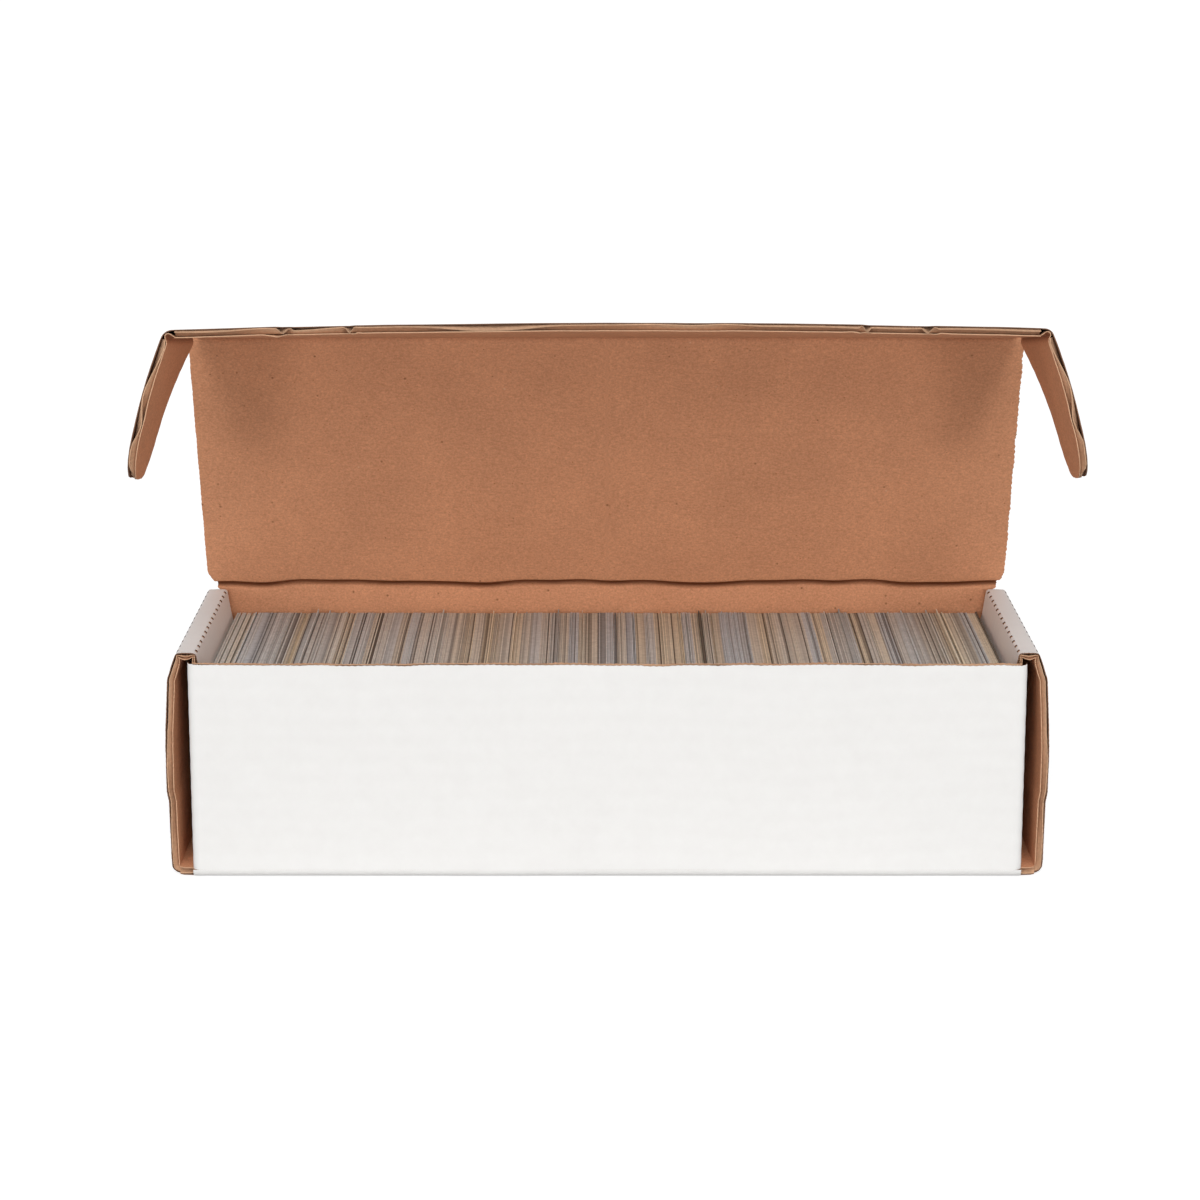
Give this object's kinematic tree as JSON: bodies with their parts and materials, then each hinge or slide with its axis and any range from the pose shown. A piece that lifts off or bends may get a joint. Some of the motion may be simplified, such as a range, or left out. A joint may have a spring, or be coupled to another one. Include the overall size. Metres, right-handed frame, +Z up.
{
  "type": "card storage box",
  "caption": "Long one-piece corrugated box with rolled perforated ends, a hinged tuck-front lid with folding ears, and a full row of cards standing on edge.",
  "frame": {"origin": "middle of the underside, on the table", "axes": "+X along the row of cards, +Y from the front panel to the back panel, +Z up"},
  "size_m": [0.3048, 0.1157, 0.1843],
  "materials": {
    "white_liner": "smooth matt white paper liner",
    "kraft_liner": "matt brown kraft paper with fibre specks",
    "fluted_medium": "rough brown fluting paper",
    "folded_board": "creased board, white outside",
    "card_stock": "cut edges of printed card, grey and beige"
  },
  "bodies": {
    "box": {"back_bottom_fold": "folded_board", "back_flutes": "fluted_medium", "back_kraft_liner": "kraft_liner", "back_left_flap_flutes": "fluted_medium", "back_left_flap_kraft_liner": "kraft_liner", "back_left_flap_white_liner": "white_liner", "back_left_fold": "folded_board", "back_right_flap_flutes": "fluted_medium", "back_right_flap_kraft_liner": "kraft_liner", "back_right_flap_white_liner": "white_liner", "back_right_fold": "folded_board", "back_white_liner": "white_liner", "bottom_flutes": "fluted_medium", "bottom_kraft_liner": "kraft_liner", "bottom_white_liner": "white_liner", "card_row": "card_stock", "front_bottom_fold": "folded_board", "front_flutes": "fluted_medium", "front_kraft_liner": "kraft_liner", "front_left_flap_flutes": "fluted_medium", "front_left_flap_kraft_liner": "kraft_liner", "front_left_flap_white_liner": "white_liner", "front_left_fold": "folded_board", "front_right_flap_flutes": "fluted_medium", "front_right_flap_kraft_liner": "kraft_liner", "front_right_flap_white_liner": "white_liner", "front_right_fold": "folded_board", "front_white_liner": "white_liner", "left_bottom_fold": "folded_board", "left_inner_end_flutes": "fluted_medium", "left_inner_end_kraft_liner": "kraft_liner", "left_inner_end_white_liner": "white_liner", "left_roll": "folded_board", "left_wall_flutes": "fluted_medium", "left_wall_kraft_liner": "kraft_liner", "left_wall_white_liner": "white_liner", "lid_crease": "folded_board", "right_bottom_fold": "folded_board", "right_inner_end_flutes": "fluted_medium", "right_inner_end_kraft_liner": "kraft_liner", "right_inner_end_white_liner": "white_liner", "right_roll": "folded_board", "right_wall_flutes": "fluted_medium", "right_wall_kraft_liner": "kraft_liner", "right_wall_white_liner": "white_liner"},
    "lid": {"flap_crease": "folded_board", "lid_flutes": "fluted_medium", "lid_kraft_liner": "kraft_liner", "lid_white_liner": "white_liner"},
    "tuck_flap": {"left_ear_crease": "folded_board", "right_ear_crease": "folded_board", "tuck_flap_flutes": "fluted_medium", "tuck_flap_kraft_liner": "kraft_liner", "tuck_flap_white_liner": "white_liner"},
    "left_ear": {"left_ear_flutes": "fluted_medium", "left_ear_kraft_liner": "kraft_liner", "left_ear_white_liner": "white_liner"},
    "right_ear": {"right_ear_flutes": "fluted_medium", "right_ear_kraft_liner": "kraft_liner", "right_ear_white_liner": "white_liner"}
  },
  "joints": [
    {"name": "lid_hinge", "type": "hinge", "parent": "box", "child": "lid", "pos_m": [0, 0.049, 0.077], "axis": [1, 0, 0], "range_deg": [-111, 69]},
    {"name": "tuck_flap_hinge", "type": "hinge", "parent": "lid", "child": "tuck_flap", "pos_m": [0, 0.0128, 0.17129], "axis": [1, 0, 0], "range_deg": [-60, 30]},
    {"name": "left_ear_hinge", "type": "hinge", "parent": "tuck_flap", "child": "left_ear", "pos_m": [-0.1388, 0.0128, 0.17129], "axis": [0, -0.9877, 0.1564], "range_deg": [-75, 15]},
    {"name": "right_ear_hinge", "type": "hinge", "parent": "tuck_flap", "child": "right_ear", "pos_m": [0.1388, 0.0128, 0.17129], "axis": [0, 0.9877, -0.1564], "range_deg": [-75, 15]}
  ]
}
